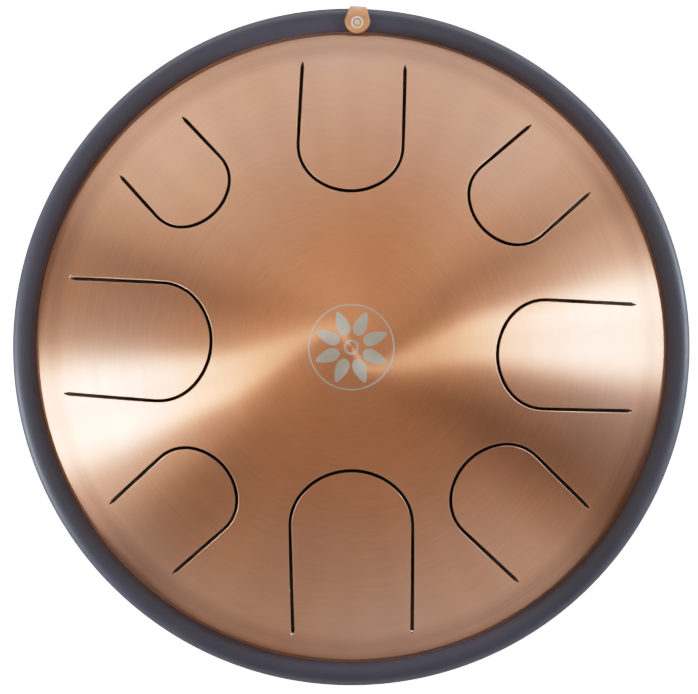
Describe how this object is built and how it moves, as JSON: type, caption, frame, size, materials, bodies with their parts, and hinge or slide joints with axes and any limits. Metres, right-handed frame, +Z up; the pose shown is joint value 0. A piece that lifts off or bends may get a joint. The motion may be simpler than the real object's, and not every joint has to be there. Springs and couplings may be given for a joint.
{
  "type": "steel tongue drum",
  "caption": "Round drum of bonded steel domes with slot-cut tuned tongues, a rubber rim ring, a leather tag and rubber feet.",
  "frame": {"origin": "on the drum's axis, at the level of the soles of the feet", "axes": "+Z up along the drum's axis, +Y towards the leather tag, +X to the right of the tag as seen from above"},
  "size_m": [0.3408, 0.3424, 0.1728],
  "materials": {
    "copper_steel": "copper-toned stainless steel with a circular brushed grain",
    "ring_rubber": "matte blue-grey rubber",
    "foot_rubber": "matte black rubber",
    "leather": "tan vegetable-tanned leather with raw edges",
    "adhesive": "cured structural adhesive",
    "zinc_steel": "bright zinc plate"
  },
  "bodies": {
    "drum": {"top_shell": "copper_steel", "bottom_shell": "copper_steel", "rim_bond": "adhesive", "rim_ring": "ring_rubber", "leather_tag": "leather", "foot_northeast": "foot_rubber", "foot_screw_northeast": "zinc_steel", "foot_nut_northeast": "zinc_steel", "foot_northwest": "foot_rubber", "foot_screw_northwest": "zinc_steel", "foot_nut_northwest": "zinc_steel", "foot_southwest": "foot_rubber", "foot_screw_southwest": "zinc_steel", "foot_nut_southwest": "zinc_steel", "foot_southeast": "foot_rubber", "foot_screw_southeast": "zinc_steel", "foot_nut_southeast": "zinc_steel"},
    "tongue_north": {"tongue_north": "copper_steel"},
    "tongue_northeast": {"tongue_northeast": "copper_steel"},
    "tongue_east": {"tongue_east": "copper_steel"},
    "tongue_southeast": {"tongue_southeast": "copper_steel"},
    "tongue_south": {"tongue_south": "copper_steel"},
    "tongue_southwest": {"tongue_southwest": "copper_steel"},
    "tongue_west": {"tongue_west": "copper_steel"},
    "tongue_northwest": {"tongue_northwest": "copper_steel"}
  },
  "joints": [
    {"name": "tongue_north_flex", "type": "hinge", "parent": "drum", "child": "tongue_north", "pos_m": [-0.0017, 0.13924, 0.11118], "axis": [0.9999, -0.0169, 0], "range_deg": [-1, 1], "stiffness_Nm_per_rad": 15},
    {"name": "tongue_northeast_flex", "type": "hinge", "parent": "drum", "child": "tongue_northeast", "pos_m": [0.10083, 0.09471, 0.11216], "axis": [0.6728, -0.7399, 0], "range_deg": [-1, 1], "stiffness_Nm_per_rad": 15},
    {"name": "tongue_east_flex", "type": "hinge", "parent": "drum", "child": "tongue_east", "pos_m": [0.1391, -0.00231, 0.11132], "axis": [-0.0162, -0.9999, 0], "range_deg": [-1, 1], "stiffness_Nm_per_rad": 15},
    {"name": "tongue_southeast_flex", "type": "hinge", "parent": "drum", "child": "tongue_southeast", "pos_m": [0.10164, -0.09543, 0.111], "axis": [-0.6779, -0.7352, 0], "range_deg": [-1, 1], "stiffness_Nm_per_rad": 15},
    {"name": "tongue_south_flex", "type": "hinge", "parent": "drum", "child": "tongue_south", "pos_m": [0.00355, -0.14129, 0.10888], "axis": [-0.9995, -0.0311, 0], "range_deg": [-1, 1], "stiffness_Nm_per_rad": 15},
    {"name": "tongue_southwest_flex", "type": "hinge", "parent": "drum", "child": "tongue_southwest", "pos_m": [-0.10132, -0.09643, 0.1105], "axis": [-0.6835, 0.7299, 0], "range_deg": [-1, 1], "stiffness_Nm_per_rad": 15},
    {"name": "tongue_west_flex", "type": "hinge", "parent": "drum", "child": "tongue_west", "pos_m": [-0.13981, 0.00255, 0.11054], "axis": [0.0407, 0.9992, 0], "range_deg": [-1, 1], "stiffness_Nm_per_rad": 15},
    {"name": "tongue_northwest_flex", "type": "hinge", "parent": "drum", "child": "tongue_northwest", "pos_m": [-0.10045, 0.09662, 0.11105], "axis": [0.7175, 0.6965, 0], "range_deg": [-1, 1], "stiffness_Nm_per_rad": 10.6}
  ]
}
